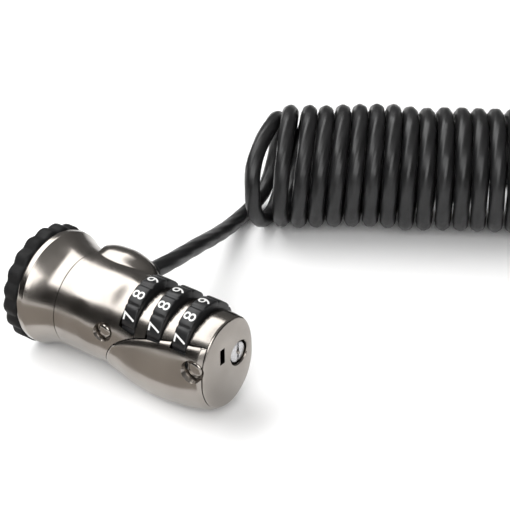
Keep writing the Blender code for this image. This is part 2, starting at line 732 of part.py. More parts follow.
FLOOR_RUN = CABLE_DIAMETER / 2 + 0.05


# The free cable between the gland and the coil: station, y and height above the floor.
LEAD = ((23.75, 15.5, 19.6), (22.95, 21.6, 18.2), (21.1, 29.1, 16.0), (18.1, 39.8, 12.6), (15.0, 49.4, 9.0),
        (11.5, 60.0, 5.4))
# Its last stretch on the floor, along and behind the coil's axis.
LEAD_END = ((-7.3, -5.4), (-5.6, -2.2), (-3.2, -0.6), (-0.9, -0.4))


def lead_route():
    """From the stop in the boss straight out, then down to the floor and in to the coil's first turn."""
    knots = [place(EXIT_STATION, 8.9, EXIT_HEIGHT), place(EXIT_STATION, SOCKET_END + GLAND_REACH, EXIT_HEIGHT)]
    knots += [Vector((station - MID_STATION, y, z)) for station, y, z in LEAD]
    return knots + [coil_point(along, FLOOR_RUN, back) for along, back in LEAD_END]


def cable_lead():
    return cable_curve("cable_lead", smooth_points(lead_route(), 5.5))


def cable_coil():
    """Outer shape of the coiled stretch, lying on the floor."""
    length = COIL_PITCH * COIL_TURNS
    body = rod(coil_point(0, COIL_RADIUS), coil_point(length, COIL_RADIUS), COIL_RADIUS, 48)
    return new_object("cable_coil", body, "plastic", coil_point(length / 2, COIL_RADIUS))


FERRULE_LENGTH = 13.0
EYE_LENGTH = 38.0
TAIL_ALONG = COIL_PITCH * COIL_TURNS + 2.45   # the tail leaves beside the last turn
TAIL_BEND = 15.0              # radius of the tail's turn back behind the coil
TAIL_STRAIGHT = 9.6           # how far the tail runs backwards before it turns
FERRULE_ALONG = 68.0          # mouth of the crimp, which points back along the coil
LEG = 2.4                     # each cable in the crimp lies this far from its middle
EYE_BACK = TAIL_STRAIGHT + TAIL_BEND + LEG


def eye_point(along, height=0.0, side=0.0):
    """World point given from the crimp's mouth: along the eye, above the floor and sideways."""
    return coil_point(FERRULE_ALONG - along, height, EYE_BACK - side)


def tail_route():
    """Backwards from the last turn, round a quarter bend and into the crimp behind the coil."""
    knots = [coil_point(TAIL_ALONG, FLOOR_RUN, 0.0)]
    for step in range(4):
        angle = math.pi / 2 * step / 3
        knots.append(coil_point(TAIL_ALONG - TAIL_BEND * (1 - math.cos(angle)), FLOOR_RUN,
                                TAIL_STRAIGHT + TAIL_BEND * math.sin(angle)))
    return knots + [coil_point(FERRULE_ALONG + GAP, FLOOR_RUN, TAIL_STRAIGHT + TAIL_BEND)]


def cable_tail():
    return cable_curve("cable_tail", smooth_points(tail_route(), 5.5))


def loop_ferrule():
    """Oval aluminium crimp that closes the end loop."""
    radius, bevel = 3.2, 0.5
    rings = []
    for along, shrink in ((0.0, bevel), (bevel, 0.0), (FERRULE_LENGTH - bevel, 0.0), (FERRULE_LENGTH, bevel)):
        ring = []
        for k in range(32):
            angle = math.tau * k / 32
            half = LEG if math.cos(angle) >= 0 else -LEG
            ring.append(eye_point(along, radius + 0.1 + (radius - shrink) * math.sin(angle),
                                  half + (radius - shrink) * math.cos(angle)))
        rings.append(ring)
    return new_object("loop_ferrule", bridge(bmesh.new(), rings), "aluminium", eye_point(0, radius))


def end_loop():
    """Eye of bare sheathed cable that the lock head is passed through."""
    start = FERRULE_LENGTH + 0.8
    knots = [(0.0, LEG), (4.0, 2.6), (9.0, 4.2), (16.0, 8.8), (25.0, 12.4), (34.0, 9.8), (EYE_LENGTH, 0.0)]
    knots = knots + [(a, -b) for a, b in reversed(knots[:-1])]
    return cable_curve("end_loop", smooth_points([eye_point(start + a, FLOOR_RUN, b) for a, b in knots], 8.0))


def build():
    clear_scene()
    upper_shell()
    lower_shell()
    grip_ring()
    collar()
    nose_sleeve()
    face_pad()
    lock_spindle()
    drive_pin()
    retaining_ring()
    lock_cam()
    for index in range(DIAL_COUNT):
        dial(index)
        code_sleeve(index)
    dial_axle()
    bulkhead()
    fence_bar()
    for index, station in enumerate(SPRING_STATIONS, start=1):
        fence_spring(index, station)
    spring_seat()
    index_spring()
    reset_screw()
    for name, station, height, _, head_radius, sides in RIVETS:
        rivet(name, station, height, head_radius, sides)
    cable_gland()
    cable_stub()
    cable_lead()
    cable_coil()
    cable_tail()
    loop_ferrule()
    end_loop()


build()
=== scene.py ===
"""Looks of the laptop cable lock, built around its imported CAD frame.

Sizes are millimetres in the lock's own frame and are scaled to metres as meshes are made.
The stage, its camera and its lights are in metres.
"Station" is the distance along the barrel from the outer face of the grip.
"""
import math

import bmesh
import bpy
import numpy as np
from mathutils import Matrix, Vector


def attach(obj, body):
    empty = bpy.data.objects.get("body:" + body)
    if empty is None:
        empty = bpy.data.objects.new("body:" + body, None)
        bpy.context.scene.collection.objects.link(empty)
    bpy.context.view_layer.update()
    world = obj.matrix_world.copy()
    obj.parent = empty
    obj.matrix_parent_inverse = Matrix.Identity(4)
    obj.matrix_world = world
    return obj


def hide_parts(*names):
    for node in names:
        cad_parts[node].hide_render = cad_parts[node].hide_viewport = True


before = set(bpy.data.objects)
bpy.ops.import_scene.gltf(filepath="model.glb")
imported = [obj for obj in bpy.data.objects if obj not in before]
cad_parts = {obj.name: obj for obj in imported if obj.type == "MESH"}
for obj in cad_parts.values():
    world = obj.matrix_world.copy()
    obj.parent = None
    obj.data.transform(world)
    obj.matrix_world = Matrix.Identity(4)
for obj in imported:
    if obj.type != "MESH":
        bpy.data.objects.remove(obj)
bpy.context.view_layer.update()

MM = 0.001
MID_STATION = 26.4
AXIS_Z = 15.2
END_STATION = 58.0
SEAM_STATION = 14.2
DIAL_STATIONS = (35.2, 42.8, 50.4)
DIAL_RISE = 4.0
DIAL_WIDTH = 4.0
DIAL_PHASE = 156.6            # degrees around the dial to the middle of the digit 7
DIAL_FLAT = 9.12              # distance from the dial's axis to the middle of each flat field
DIAL_BORE = 5.1
DIAL_GAP = 0.3                # room on either side of a dial in its window
WINDOW_RADIUS = 9.62
CABLE_RADIUS = 2.15
EXIT_STATION = 24.0
EXIT_HEIGHT = 4.8
SOCKET_END = 11.4             # y of the boss's flat face around the bush
GLAND_REACH = 1.8             # the bush stands this far out of the boss
BUSH_START = 9.0              # y of the bush's inner end


def place(station, y=0.0, height=0.0):
    """World millimetres of a point given from the barrel's axis."""
    return Vector((station - MID_STATION, y, AXIS_Z + height))


# ---------------------------------------------------------------- meshes
def knot_curve(x, knots):
    """Smooth value through (x, value) knots, level beyond both ends."""
    if x <= knots[0][0]:
        return knots[0][1]
    if x >= knots[-1][0]:
        return knots[-1][1]
    i = max(k for k in range(len(knots) - 1) if knots[k][0] <= x)
    x0, y0 = knots[max(i - 1, 0)]
    x1, y1 = knots[i]
    x2, y2 = knots[i + 1]
    x3, y3 = knots[min(i + 2, len(knots) - 1)]
    t = (x - x1) / (x2 - x1)
    m1 = (y2 - y0) / (x2 - x0) * (x2 - x1)
    m2 = (y3 - y1) / (x3 - x1) * (x2 - x1)
    return ((2 * t ** 3 - 3 * t ** 2 + 1) * y1 + (t ** 3 - 2 * t ** 2 + t) * m1
            + (3 * t ** 2 - 2 * t ** 3) * y2 + (t ** 3 - t ** 2) * m2)


def smooth_line(knots, steps=12):
    """Points of a smooth line through the knots."""
    knots = [Vector(k) for k in knots]
    padded = [knots[0] * 2 - knots[1]] + knots + [knots[-1] * 2 - knots[-2]]
    line = []
    for p0, p1, p2, p3 in zip(padded, padded[1:], padded[2:], padded[3:]):
        for i in range(steps):
            t = i / steps
            line.append(0.5 * (2 * p1 + (p2 - p0) * t + (2 * p0 - 5 * p1 + 4 * p2 - p3) * t ** 2
                               + (3 * (p1 - p2) + p3 - p0) * t ** 3))
    line.append(knots[-1])
    return line


def add_mesh(name, points, faces, smooth_angle=35):
    """A mesh object from world millimetres, with outward faces."""
    mesh = bpy.data.meshes.new(name)
    mesh.from_pydata([tuple(Vector(p) * MM) for p in points], [], faces)
    bm = bmesh.new()
    bm.from_mesh(mesh)
    bmesh.ops.recalc_face_normals(bm, faces=bm.faces)
    bm.to_mesh(mesh)
    bm.free()
    mesh.shade_smooth()
    mesh.set_sharp_from_angle(angle=math.radians(smooth_angle))
    obj = bpy.data.objects.new(name, mesh)
    bpy.context.scene.collection.objects.link(obj)
    return obj


def skin(rings, looped=False):
    """Points and faces of a body skinned over equal closed rings, with end caps unless looped."""
    count = len(rings[0])
    points = [p for ring in rings for p in ring]
    faces = []
    pairs = list(range(len(rings) - 1))
    for r in pairs + ([len(rings) - 1] if looped else []):
        a, b = r * count, ((r + 1) % len(rings)) * count
        for i in range(count):
            j = (i + 1) % count
            faces.append((a + i, a + j, b + j, b + i))
    if not looped:
        faces.append(tuple(range(count))[::-1])
        faces.append(tuple((len(rings) - 1) * count + i for i in range(count)))
    return points, faces


def circle(station, radius, centre=(0.0, 0.0), segments=96):
    y, z = centre
    angles = [math.tau * i / segments for i in range(segments)]
    return [place(station, y + radius * math.cos(a), z + radius * math.sin(a)) for a in angles]


def turned(name, profile, centre=(0.0, 0.0), segments=96):
    """A body of revolution along the barrel from a closed profile of (station, radius)."""
    rings = [circle(a, r, centre, segments) for a, r in profile]
    return add_mesh(name, *skin(rings, looped=True))


def rod(name, start, end, radius, segments=48):
    axis = (end - start).normalized()
    side = axis.orthogonal().normalized()
    up = axis.cross(side)
    rings = []
    for point in (start, end):
        rings.append([point + side * (radius * math.cos(math.tau * i / segments))
                      + up * (radius * math.sin(math.tau * i / segments)) for i in range(segments)])
    return add_mesh(name, *skin(rings))


def rings_across(station, height, rows, segments=64):
    """Circles about a line across the barrel, from (y, radius) rows."""
    return [[place(station + r * math.cos(math.tau * k / segments), y,
                   height + r * math.sin(math.tau * k / segments)) for k in range(segments)]
            for y, r in rows]


def block(name, a_range, y_range, z_range):
    corners = [(y_range[0], z_range[0]), (y_range[1], z_range[0]), (y_range[1], z_range[1]),
               (y_range[0], z_range[1])]
    return add_mesh(name, *skin([[place(a, y, z) for y, z in corners] for a in a_range]))


CARVED_SMOOTH_ANGLE = 32


def carve(obj, steps):
    """Applies a list of (operation, tool) Booleans and removes the tools."""
    for operation, tool in steps:
        mod = obj.modifiers.new(tool.name, "BOOLEAN")
        mod.operation = operation
        mod.solver = "MANIFOLD"
        mod.object = tool
    graph = bpy.context.evaluated_depsgraph_get()
    result = bpy.data.meshes.new_from_object(obj.evaluated_get(graph))
    obj.modifiers.clear()
    obj.data = result
    result.shade_smooth()
    result.set_sharp_from_angle(angle=math.radians(CARVED_SMOOTH_ANGLE))
    for tool in {tool for _, tool in steps}:
        bpy.data.objects.remove(tool, do_unlink=True)
    return obj


def finish_piece(obj, mat, body, nodes=()):
    obj.data.materials.clear()
    obj.data.materials.append(mat)
    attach(obj, body)
    if nodes:
        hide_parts(*nodes)
    return obj


# ---------------------------------------------------------------- materials
def new_material(name, colour, roughness, metallic=0.0, **sockets):
    mat = bpy.data.materials.new(name)
    mat.use_nodes = True
    shader = mat.node_tree.nodes["Principled BSDF"]
    shader.inputs["Base Color"].default_value = (*colour, 1.0)
    shader.inputs["Roughness"].default_value = roughness
    shader.inputs["Metallic"].default_value = metallic
    for key, value in sockets.items():
        shader.inputs[key.replace("_", " ")].default_value = value
    return mat


def noise(mat, scale, detail=4.0, stretch=(1, 1, 1)):
    """Noise over the object's own coordinates; returns its value socket."""
    tree = mat.node_tree
    coords = tree.nodes.new("ShaderNodeTexCoord")
    mapping = tree.nodes.new("ShaderNodeMapping")
    mapping.inputs["Scale"].default_value = stretch
    tree.links.new(coords.outputs["Object"], mapping.inputs["Vector"])
    texture = tree.nodes.new("ShaderNodeTexNoise")
    texture.inputs["Scale"].default_value = scale
    texture.inputs["Detail"].default_value = detail
    tree.links.new(mapping.outputs["Vector"], texture.inputs["Vector"])
    return texture.outputs["Fac"]


def vary(mat, source, socket, low, high, start=0.3, stop=0.7):
    """Links one shader socket to a noise, between two values or two colours."""
    tree = mat.node_tree
    shader = tree.nodes["Principled BSDF"]
    if isinstance(low, tuple):
        ramp = tree.nodes.new("ShaderNodeValToRGB")
        ramp.color_ramp.elements[0].position = start
        ramp.color_ramp.elements[0].color = (*low, 1)
        ramp.color_ramp.elements[1].position = stop
        ramp.color_ramp.elements[1].color = (*high, 1)
        tree.links.new(source, ramp.inputs["Fac"])
        tree.links.new(ramp.outputs["Color"], shader.inputs[socket])
    else:
        span = tree.nodes.new("ShaderNodeMapRange")
        span.inputs["From Min"].default_value = start
        span.inputs["From Max"].default_value = stop
        span.inputs["To Min"].default_value = low
        span.inputs["To Max"].default_value = high
        tree.links.new(source, span.inputs["Value"])
        tree.links.new(span.outputs["Result"], shader.inputs[socket])


def bump(mat, source, strength, distance):
    """Adds a small relief on top of any already there."""
    tree = mat.node_tree
    shader = tree.nodes["Principled BSDF"]
    node = tree.nodes.new("ShaderNodeBump")
    node.inputs["Strength"].default_value = strength
    node.inputs["Distance"].default_value = distance
    tree.links.new(source, node.inputs["Height"])
    for link in list(shader.inputs["Normal"].links):
        tree.links.new(link.from_socket, node.inputs["Normal"])
    tree.links.new(node.outputs["Normal"], shader.inputs["Normal"])


def metal(name, colour, roughness, grain=0.05, stretch=(1, 1, 1)):
    """Plated or machined metal: uneven polish, fine grain and a slow ripple."""
    mat = new_material(name, colour, roughness, 1.0)
    vary(mat, noise(mat, 160, 6, stretch), "Roughness", roughness * 0.75, roughness * 1.35)
    dull = tuple(c * 0.8 for c in colour)
    vary(mat, noise(mat, 90, 5), "Base Color", dull, colour, 0.25, 0.6)
    bump(mat, noise(mat, 1400, 3, stretch), grain, 0.00002)
    bump(mat, noise(mat, 120, 2), 0.05, 0.0002)
    return mat


def black(name, colour, roughness, scale, strength, lighter=1.6, gloss=0.35):
    """Black rubber or plastic with a fine moulded grain."""
    mat = new_material(name, colour, roughness, Specular_IOR_Level=gloss)
    vary(mat, noise(mat, 220, 5), "Roughness", roughness * 0.8, min(1.0, roughness * 1.25))
    vary(mat, noise(mat, 130, 6), "Base Color", colour, tuple(c * lighter for c in colour), 0.35, 0.8)
    bump(mat, noise(mat, scale, 4), strength, 0.00005)
    return mat


NICKEL = metal("nickel", (0.325, 0.30, 0.275), 0.2)
RUBBER = black("grip_rubber", (0.005, 0.005, 0.0052), 0.6, 900, 0.5, 1.8, 0.2)
PAD = black("pad_rubber", (0.02, 0.02, 0.02), 0.8, 1500, 0.6)
GLAND = black("gland_rubber", (0.012, 0.012, 0.012), 0.5, 1100, 0.3)
DIAL = black("dial_plastic", (0.007, 0.007, 0.0075), 0.36, 1800, 0.12)
SHEATH = black("cable_sheath", (0.006, 0.006, 0.0063), 0.37, 700, 0.45, 2.2, 0.4)
PAINT = black("digit_paint", (0.66, 0.66, 0.65), 0.5, 2500, 0.2, 1.15, 0.3)
STEEL = metal("machined_steel", (0.56, 0.56, 0.57), 0.3, 0.2, (1, 1, 6))
DARK_STEEL = metal("dark_steel", (0.40, 0.39, 0.38), 0.3, 0.2)
BRASS = metal("machined_brass", (0.72, 0.53, 0.26), 0.28, 0.15, (6, 1, 1))
ALUMINIUM = metal("pressed_aluminium", (0.80, 0.81, 0.82), 0.36, 0.3)


# ---------------------------------------------------------------- cable
COIL_HEADING = math.radians(33.6)
COIL_RADIUS = 15.15           # middle of the cable in each turn
COIL_PITCH = 4.8
COIL_TURNS = 18
COIL_START = (11.0, 77.0)     # station and y
FLOOR_RUN = 2.2               # height of the cable's middle where it lies on the floor
LEAN = 7.6                    # degrees that the first turns lean along the coil
END_LEAN = 0.8                # and the last turns
ALONG = Vector((math.cos(COIL_HEADING), math.sin(COIL_HEADING), 0))
BACK = Vector((-math.sin(COIL_HEADING), math.cos(COIL_HEADING), 0))
# The first two turns stand open: degrees of turn and shift along the coil in millimetres.
FIRST_TURN = ((0, -2.0), (45, 0.9), (90, 0.9), (150, -0.6), (180, -2.0), (210, -4.1), (240, -5.4),
              (270, -4.9), (300, -3.9), (330, -2.4), (360, -0.6), (390, 0.3), (430, 0.0), (510, -1.2),
              (540, -1.6), (600, -1.2), (690, -0.2), (780, 0.0))
# The cable from the boss to the coil: station, y and height above the floor.
LEAD = ((24.0, 8.9, 20.0), (24.0, 13.2, 19.95), (23.75, 15.5, 19.6), (22.95, 21.6, 18.2), (21.1, 29.1, 16.0),
        (18.1, 39.8, 12.6), (15.0, 49.4, 9.0), (11.5, 60.0, 5.4), (8.5, 69.3, 2.9), (7.0, 76.3, 2.25))
# Unevenness of the coil: turn number with shift along the coil, and with lift off the floor.
TURN_SHIFT = ((1.0, -0.6), (2.0, -2.0), (8.0, -2.0), (9.0, -1.9), (10.0, -1.8), (11.0, -1.5), (12.0, -1.5),
              (14.0, -1.6), (16.0, -1.2), (17.4, 0.0))
TURN_LIFT = ((1.0, 0.0), (2.0, 0.4), (3.0, 0.1), (4.0, 0.5), (5.0, 0.8), (6.5, 1.1), (7.5, 1.1), (9.0, 0.2),
             (10.0, 0.4), (11.0, 0.6), (12.0, 0.5), (14.0, 0.4), (17.0, 0.0))
FIRST_ANGLE = 30              # degrees of turn where the lead joins the coil
LAST_SHIFT = 2.45             # the last turn eases off the coil's end
REAR_SHIFT = 2.2              # each turn runs this much further along at its back
FIRST_DROP = 2.2              # the first turn is this much lower on top
TAIL_ALONG = COIL_PITCH * COIL_TURNS + LAST_SHIFT
TAIL_BEND = 15.0              # radius of the tail's turn back behind the coil
TAIL_STRAIGHT = 9.6
FERRULE_ALONG = 68.0          # mouth of the crimp, which points back along the coil
FERRULE_LENGTH = 13.0
LEG = 2.4                     # each cable in the crimp lies this far from its middle
EYE_BACK = TAIL_STRAIGHT + TAIL_BEND + LEG


def ease(start, stop, x):
    t = min(max((x - start) / (stop - start), 0.0), 1.0)
    return t * t * (3 - 2 * t)


def coil_base(along, back=0.0, height=0.0):
    start = Vector((COIL_START[0] - MID_STATION, COIL_START[1], 0))
    return start + ALONG * along + BACK * back + Vector((0, 0, height))


def coil_point(degrees):
    """Middle of the cable at an angle of turn: 0 on the floor, 90 at the back, 180 on top."""
    turn = degrees / 360
    angle = math.radians(degrees)
    along = COIL_PITCH * turn + knot_curve(degrees, FIRST_TURN) + knot_curve(turn, TURN_SHIFT)
    along += LAST_SHIFT * ease(COIL_TURNS - 0.8, COIL_TURNS, turn)
    along += REAR_SHIFT * 0.5 * (1 + math.sin(angle)) * (1 - ease(16.5, 17.5, turn))
    first = 1 - ease(0.75, 1.1, turn)
    top = COIL_RADIUS - FIRST_DROP * first * (0.5 - 0.5 * math.cos(angle))
    height = COIL_RADIUS + FLOOR_RUN + knot_curve(turn, TURN_LIFT) - top * math.cos(angle)
    lean = math.tan(math.radians(LEAN * (1 - ease(2, 14, turn)) + END_LEAN * ease(6, 11, turn)))
    point = coil_base(along, COIL_RADIUS * math.sin(angle), height)
    return point + ALONG * (lean * (height - COIL_RADIUS - FLOOR_RUN))


def cable_route():
    lead = [Vector((a - MID_STATION, y, z)) for a, y, z in LEAD]
    last = COIL_TURNS * 360
    coil = [coil_point(FIRST_ANGLE + i * 10) for i in range((last - FIRST_ANGLE) // 10 + 1)]
    tail = []
    for step in range(7):
        angle = math.pi / 2 * step / 6
        tail.append(coil_base(TAIL_ALONG - TAIL_BEND * (1 - math.cos(angle)),
                              TAIL_STRAIGHT + TAIL_BEND * math.sin(angle), FLOOR_RUN))
    tail.append(coil_base(FERRULE_ALONG - 1.0, TAIL_STRAIGHT + TAIL_BEND, FLOOR_RUN))
    return smooth_line(lead + coil[:1], 10)[:-1] + coil + smooth_line([coil[-1]] + tail, 10)[1:]


def even_points(line, spacing):
    """The line again with evenly spaced points."""
    points = np.array([tuple(p) for p in line])
    steps = np.linalg.norm(np.diff(points, axis=0), axis=1)
    walked = np.concatenate([[0.0], np.cumsum(steps)])
    count = max(2, round(walked[-1] / spacing))
    wanted = np.linspace(0, walked[-1], count + 1)
    return np.stack([np.interp(wanted, walked, points[:, k]) for k in range(3)], axis=1)


STRANDS = 6
LAY_LENGTH = 62.0             # millimetres for one full twist of the strands
STRAND_RELIEF = 0.17


def stranded_tube(name, line, spacing=0.9, segments=30, radius=CABLE_RADIUS):
    """Sheathed cable whose twisted strands show faintly through the plastic."""
    path = even_points(line, spacing)
    tangents = np.gradient(path, axis=0)
    tangents /= np.linalg.norm(tangents, axis=1)[:, None]
    side = np.cross(tangents[0], (0.0, 0.0, 1.0))
    side /= np.linalg.norm(side)
    angles = np.arange(segments) * math.tau / segments
    rings = []
    for i, (point, tangent) in enumerate(zip(path, tangents)):
        side = side - tangent * np.dot(side, tangent)
        side /= np.linalg.norm(side)
        up = np.cross(tangent, side)
        twist = math.tau * i * spacing / LAY_LENGTH
        relief = STRAND_RELIEF * (np.abs(np.cos(STRANDS / 2 * (angles - twist))) ** 0.7 - 0.75)
        size = radius + relief
        if i in (0, len(path) - 1):
            size = size * 0.8
        ring = point + np.outer(size * np.cos(angles), side) + np.outer(size * np.sin(angles), up)
        rings.append([Vector(p) for p in ring])
    return add_mesh(name, *skin(rings), 60), path


def build_cable():
    route = cable_route()
    cable, path = stranded_tube("cable", route)
    length = float(np.linalg.norm(np.diff(path, axis=0), axis=1).sum()) * MM
    finish_piece(cable, SHEATH, "head", ("cable_lead", "cable_coil", "cable_tail"))
    return cable, path, length


def eye_point(along, height=0.0, side=0.0):
    return coil_base(FERRULE_ALONG - along, EYE_BACK - side, height)


def build_ferrule():
    """Oval crimp with three press marks."""
    rings = []
    rows = [(0.0, 0.7), (0.25, 0.25), (0.8, 0.0)]
    for middle in (3.2, 6.5, 9.8):
        rows += [(middle - 1.25, 0.0), (middle - 0.8, 0.32), (middle + 0.8, 0.32), (middle + 1.25, 0.0)]
    rows += [(12.2, 0.0), (12.75, 0.25), (FERRULE_LENGTH, 0.7)]
    for along, shrink in rows:
        ring = []
        for k in range(64):
            angle = math.tau * k / 64
            half = LEG if math.cos(angle) >= 0 else -LEG
            ring.append(eye_point(along, 3.3 + (3.2 - shrink) * math.sin(angle),
                                  half + (3.2 - shrink) * math.cos(angle)))
        rings.append(ring)
    ferrule = add_mesh("end_ferrule", *skin(rings), 30)
    return finish_piece(ferrule, ALUMINIUM, "head", ("loop_ferrule",))


def build_end_loop():
    start = FERRULE_LENGTH - 0.6
    half = [(0.0, LEG), (4.6, 2.6), (9.6, 4.2), (16.6, 8.8), (25.6, 12.4), (34.6, 9.8), (39.2, 0.0)]
    route = half + [(a, -b) for a, b in reversed(half[:-1])]
    line = smooth_line([eye_point(start + a, FLOOR_RUN, b) for a, b in route], 14)
    loop, _ = stranded_tube("end_eye", line)
    return finish_piece(loop, SHEATH, "head", ("end_loop",))


def build_gland():
    """Moulded bush around the cable where it leaves the boss."""
    end = SOCKET_END
    profile = [(BUSH_START, 3.3), (end + 0.2, 3.3), (end + 0.2, 3.75), (end + 0.3, 3.86), (end + 0.8, 3.8),
               (end + 1.3, 3.5), (end + 1.6, 3.2), (end + 1.75, 3.0), (end + GLAND_REACH, 2.7),
               (end + 1.7, 2.45), (BUSH_START, 2.35)]
    rings = rings_across(EXIT_STATION, EXIT_HEIGHT, profile)
    gland = add_mesh("gland", *skin(rings, looped=True), 40)
    return finish_piece(gland, GLAND, "head", ("cable_gland",))


# ---------------------------------------------------------------- lock head
# Radius from the barrel's axis at 90 (top), 60, 30, 0, -30, -60 and -90 degrees.
BODY_SECTIONS = (
    (14.4, (12.3, 12.3, 12.3, 12.3, 12.3, 12.3, 12.3)),
    (20.0, (12.25, 12.25, 12.25, 12.25, 12.3, 12.3, 12.3)),
    (24.0, (12.2, 12.2, 12.2, 12.2, 12.3, 12.3, 12.3)),
    (28.0, (11.9, 11.8, 11.6, 11.6, 11.9, 12.0, 12.0)),
    (31.5, (11.4, 11.2, 11.0, 10.9, 11.8, 12.8, 12.8)),
    (36.0, (11.1, 10.8, 10.4, 10.7, 12.4, 13.9, 14.2)),
    (42.0, (11.0, 10.7, 10.3, 10.6, 12.6, 14.3, 14.55)),
    (47.0, (11.0, 10.7, 10.25, 10.4, 12.3, 14.0, 14.55)),
    (52.0, (11.1, 10.8, 10.15, 10.0, 11.6, 13.3, 14.0)),
    (55.0, (11.2, 10.9, 10.0, 9.7, 10.9, 12.5, 13.4)),
    (58.0, (10.95, 10.65, 9.6, 9.2, 10.1, 11.6, 12.4)),
)
LIP_HEIGHT = 0.6              # the lower shell swells beyond the upper one
LIP_WIDTH = 2.0
END_ROUNDING = 0.6            # radius of the end face's edge
WALL = 1.7
SHELL_END = 57.3              # the lower shell stops just short of the end face
# Station and radius of the boss that the cable leaves.
POD_STATIONS = ((14.6, 4.8), (17.0, 5.5), (21.0, 5.8), (25.0, 5.6), (27.4, 4.9), (29.2, 3.7), (30.1, 2.5),
                (30.5, 1.2))
POD_CENTRE = (6.4, 7.2)
POD_DROP = 0.15               # fall of the boss per millimetre beyond POD_CREST
POD_CREST = 22
POD_FILLET = 0.9              # width of the blend between boss and barrel
SEGMENTS = 240
BACK_EDGE = -3.0              # height of the lower shell's edge at the back


def section_radii(station, angles):
    """Body radius at a station for an array of angles in radians."""
    radii = np.array([knot_curve(station, [(a, r[k]) for a, r in BODY_SECTIONS]) for k in range(7)])
    lift = np.degrees(np.arcsin(np.sin(angles)))
    spot = (90.0 - lift) / 30.0
    low = np.minimum(spot.astype(int), 5)
    part = spot - low
    p0 = radii[np.abs(low - 1)]
    p1, p2 = radii[low], radii[low + 1]
    p3 = radii[np.where(low + 2 > 6, 5, np.minimum(low + 2, 6))]
    value = p1 + 0.5 * part * (p2 - p0 + part * (2 * p0 - 5 * p1 + 4 * p2 - p3
                                                 + part * (3 * (p1 - p2) + p3 - p0)))
    over = (station - (END_STATION - END_ROUNDING)) / END_ROUNDING
    if over > 0:
        value = value - END_ROUNDING * (1 - math.sqrt(max(0.0, 1 - min(over, 1.0) ** 2)))
    return value


def pod_reach(station, angles):
    """How far the cable boss reaches along each direction from the barrel's axis."""
    first, last = POD_STATIONS[0][0], POD_STATIONS[-1][0]
    if not first <= station <= last:
        return np.zeros_like(angles)
    radius = knot_curve(station, POD_STATIONS)
    centre = np.array((POD_CENTRE[0], POD_CENTRE[1] - POD_DROP * max(0.0, station - POD_CREST)))
    distance = np.linalg.norm(centre)
    off = angles - math.atan2(centre[1], centre[0])
    inside = radius ** 2 - (distance * np.sin(off)) ** 2
    reach = distance * np.cos(off) + np.sqrt(np.maximum(inside, 0))
    return np.where((inside > 0) & (np.cos(off) > 0), reach, 0)


def smooth_max(a, b, width):
    h = np.clip(0.5 + 0.5 * (b - a) / width, 0, 1)
    return a * (1 - h) + b * h + width * h * (1 - h)


def loft(name, stations, radius_at, segments=SEGMENTS):
    angles = np.arange(segments) * math.tau / segments
    rings = []
    for station in stations:
        radius = radius_at(station, angles)
        rings.append([place(station, y, z) for y, z in zip(radius * np.cos(angles), radius * np.sin(angles))])
    return add_mesh(name, *skin(rings))


def rows_between(start, end, step):
    count = max(1, round((end - start) / step))
    return [start + (end - start) * i / count for i in range(count + 1)]


def outer_radius(station, angles):
    bare = section_radii(station, angles)
    return smooth_max(bare, pod_reach(station, angles), POD_FILLET)


def lip_radius(station, angles):
    """Lower shell: flush along the parting line, then swelling in a rounded lip."""
    bare = section_radii(station, angles)
    line = parting_outline(0.0)
    heights = bare * np.sin(angles)
    edge = np.interp(station, [a for a, _ in line], [z for _, z in line])
    back_edge = min(edge, BACK_EDGE)
    slope = np.interp(station, [a for a, _ in line][1:], np.diff([z for _, z in line]) / np.diff(
        [a for a, _ in line]))
    depth = np.where(np.cos(angles) < 0, edge - heights, back_edge - heights) / math.hypot(1, float(slope))
    part = np.clip(depth / LIP_WIDTH, 0, 1)
    return bare + LIP_HEIGHT * np.sqrt(1 - (1 - part) ** 2) * ease(0.0, 1.6, SHELL_END - station + 0.3)


# Station and height of the lower shell's upper edge.
PARTING_LINE = ((28.0, -17.0), (28.3, -9.0), (29.5, -4.5), (31.0, -1.6), (32.5, 0.2), (36.0, 2.5),
                (40.0, 4.0), (45.0, 5.4), (50.0, 6.4), (56.2, 7.1), (58.0, 7.2))


def parting_outline(gap):
    """Side view of the lower shell's upper edge, from the belly to the end face."""
    line = smooth_line([(a, z, 0) for a, z in PARTING_LINE], 6)
    return [(p.x - gap, p.y + gap) for p in line]


def region_tool(name, gap):
    """The space of the lower shell; its back edge stays low."""
    halves = []
    for side, top, inner in ((-1, None, 0.0), (1, BACK_EDGE, -2.0)):
        outline = [(a, z if top is None else min(z, top + gap)) for a, z in parting_outline(gap)]
        outline = [(a, z) for a, z in outline if a < SHELL_END + gap]
        outline += [(SHELL_END + gap, outline[-1][1]), (SHELL_END + gap, -20.0), (outline[0][0], -20.0)]
        rings = [[place(a, y, z) for a, z in outline] for y in (inner, side * 22.0)]
        halves.append(add_mesh(name + str(side), *skin(rings)))
    return carve(halves[0], [("UNION", halves[1])])


def window_tools():
    """Plain slots around the dials."""
    half = DIAL_WIDTH / 2 + DIAL_GAP
    tools = []
    for i, centre in enumerate(DIAL_STATIONS):
        profile = [(centre - half, WINDOW_RADIUS), (centre + half, WINDOW_RADIUS), (centre + half, 2.0),
                   (centre - half, 2.0)]
        tools.append(turned("window_tool%d" % i, profile, (0.0, DIAL_RISE), 160))
    return tools


# Name, station, height, recess radius and head radius of the rivets in the front.
RIVETS = (("rivet_nose", 29.1, 2.3, 2.35, 1.75), ("rivet_end", 55.1, 1.4, 2.65, 2.05))


FRONT_RADIUS = 10.5           # rough radius of the front, to find a rivet's angle


def rivet_reach(station, height):
    """How far the front stands out from the barrel's middle plane at a rivet."""
    angle = math.pi - math.asin(height / FRONT_RADIUS)
    return float(section_radii(station, np.array([angle]))[0]) * abs(math.cos(angle))


